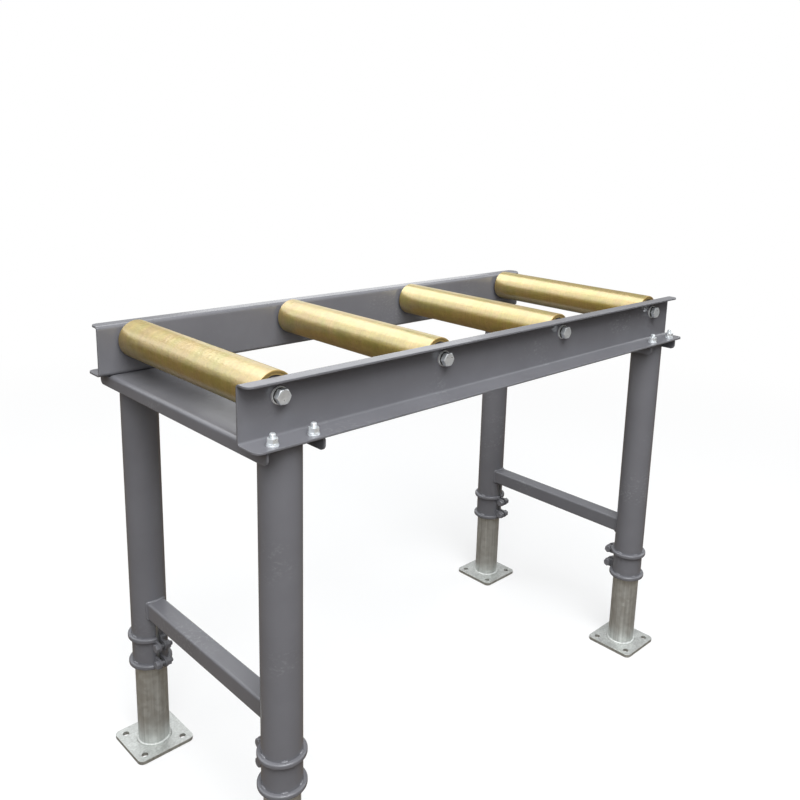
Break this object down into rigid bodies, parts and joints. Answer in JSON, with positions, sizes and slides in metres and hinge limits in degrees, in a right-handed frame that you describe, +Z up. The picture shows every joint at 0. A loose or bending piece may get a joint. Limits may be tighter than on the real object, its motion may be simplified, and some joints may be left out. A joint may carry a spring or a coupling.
{
  "type": "roller conveyor",
  "caption": "Free-standing gravity roller conveyor with folded side rails, zinc rollers on ball bearings, cross plates, braces and telescopic clamped legs.",
  "frame": {"origin": "on the floor under the middle of the conveyor, at the centre of the bounding box's underside", "axes": "+X along the side rails, +Y across them to the rear rail, +Z up"},
  "size_m": [1, 0.486, 0.75],
  "materials": {
    "powder_coat": "semi-gloss powder coat",
    "coated_fasteners": "painted over with the frame",
    "roller_zinc": "yellow zinc, brushed round the roller",
    "housing_zinc": "yellow zinc",
    "bearing_steel": "ground steel",
    "axle_steel": "turned steel",
    "bright_zinc": "bright zinc",
    "galvanised": "dull galvanised steel"
  },
  "bodies": {
    "frame": {"front_rail": "powder_coat", "rear_rail": "powder_coat", "left_cross_plate": "powder_coat", "right_cross_plate": "powder_coat", "front_left_leg_tube": "powder_coat", "front_right_leg_tube": "powder_coat", "rear_left_leg_tube": "powder_coat", "rear_right_leg_tube": "powder_coat", "left_brace": "powder_coat", "right_brace": "powder_coat", "front_left_clamp_rings": "powder_coat", "front_right_clamp_rings": "powder_coat", "rear_left_clamp_rings": "powder_coat", "rear_right_clamp_rings": "powder_coat", "clamp_bolts": "coated_fasteners", "clamp_nuts": "coated_fasteners", "plate_studs": "bright_zinc", "plate_washers": "bright_zinc", "plate_spring_washers": "bright_zinc", "plate_nuts": "bright_zinc", "axles": "axle_steel", "axle_spacers": "bright_zinc", "axle_bolts": "bright_zinc", "axle_washers": "bright_zinc", "axle_spring_washers": "bright_zinc", "bearing_inner_rings": "bearing_steel"},
    "roller_1": {"roller_1_tube": "roller_zinc", "roller_1_housings": "housing_zinc", "roller_1_outer_rings": "bearing_steel", "roller_1_shields": "bright_zinc"},
    "balls_1": {"roller_1_cages": "bearing_steel", "roller_1_balls": "bearing_steel"},
    "roller_2": {"roller_2_tube": "roller_zinc", "roller_2_housings": "housing_zinc", "roller_2_outer_rings": "bearing_steel", "roller_2_shields": "bright_zinc"},
    "balls_2": {"roller_2_cages": "bearing_steel", "roller_2_balls": "bearing_steel"},
    "roller_3": {"roller_3_tube": "roller_zinc", "roller_3_housings": "housing_zinc", "roller_3_outer_rings": "bearing_steel", "roller_3_shields": "bright_zinc"},
    "balls_3": {"roller_3_cages": "bearing_steel", "roller_3_balls": "bearing_steel"},
    "roller_4": {"roller_4_tube": "roller_zinc", "roller_4_housings": "housing_zinc", "roller_4_outer_rings": "bearing_steel", "roller_4_shields": "bright_zinc"},
    "balls_4": {"roller_4_cages": "bearing_steel", "roller_4_balls": "bearing_steel"},
    "front_left_foot": {"front_left_foot_tube": "galvanised", "front_left_foot_plate": "galvanised"},
    "front_right_foot": {"front_right_foot_tube": "galvanised", "front_right_foot_plate": "galvanised"},
    "rear_left_foot": {"rear_left_foot_tube": "galvanised", "rear_left_foot_plate": "galvanised"},
    "rear_right_foot": {"rear_right_foot_tube": "galvanised", "rear_right_foot_plate": "galvanised"}
  },
  "joints": [
    {"name": "roller_1_spin", "type": "hinge", "parent": "frame", "child": "roller_1", "pos_m": [-0.44, 0, 0.72], "axis": [0, 1, 0], "continuous": true},
    {"name": "balls_1_spin", "type": "hinge", "parent": "frame", "child": "balls_1", "pos_m": [-0.44, 0, 0.72], "axis": [0, 1, 0], "continuous": true},
    {"name": "roller_2_spin", "type": "hinge", "parent": "frame", "child": "roller_2", "pos_m": [-0.14667, 0, 0.72], "axis": [0, 1, 0], "continuous": true},
    {"name": "balls_2_spin", "type": "hinge", "parent": "frame", "child": "balls_2", "pos_m": [-0.14667, 0, 0.72], "axis": [0, 1, 0], "continuous": true},
    {"name": "roller_3_spin", "type": "hinge", "parent": "frame", "child": "roller_3", "pos_m": [0.14667, 0, 0.72], "axis": [0, 1, 0], "continuous": true},
    {"name": "balls_3_spin", "type": "hinge", "parent": "frame", "child": "balls_3", "pos_m": [0.14667, 0, 0.72], "axis": [0, 1, 0], "continuous": true},
    {"name": "roller_4_spin", "type": "hinge", "parent": "frame", "child": "roller_4", "pos_m": [0.44, 0, 0.72], "axis": [0, 1, 0], "continuous": true},
    {"name": "balls_4_spin", "type": "hinge", "parent": "frame", "child": "balls_4", "pos_m": [0.44, 0, 0.72], "axis": [0, 1, 0], "continuous": true},
    {"name": "front_left_foot_slide", "type": "slide", "parent": "frame", "child": "front_left_foot", "axis": [0, 0, -1], "range_m": [-0.1, 0.2]},
    {"name": "front_right_foot_slide", "type": "slide", "parent": "frame", "child": "front_right_foot", "axis": [0, 0, -1], "range_m": [-0.1, 0.2]},
    {"name": "rear_left_foot_slide", "type": "slide", "parent": "frame", "child": "rear_left_foot", "axis": [0, 0, -1], "range_m": [-0.1, 0.2]},
    {"name": "rear_right_foot_slide", "type": "slide", "parent": "frame", "child": "rear_right_foot", "axis": [0, 0, -1], "range_m": [-0.1, 0.2]}
  ],
  "couplings": [
    {"joint": "balls_1_spin", "follows": "roller_1_spin", "ratio": 0.6179},
    {"joint": "balls_2_spin", "follows": "roller_2_spin", "ratio": 0.6179},
    {"joint": "balls_3_spin", "follows": "roller_3_spin", "ratio": 0.6179},
    {"joint": "balls_4_spin", "follows": "roller_4_spin", "ratio": 0.6179}
  ]
}
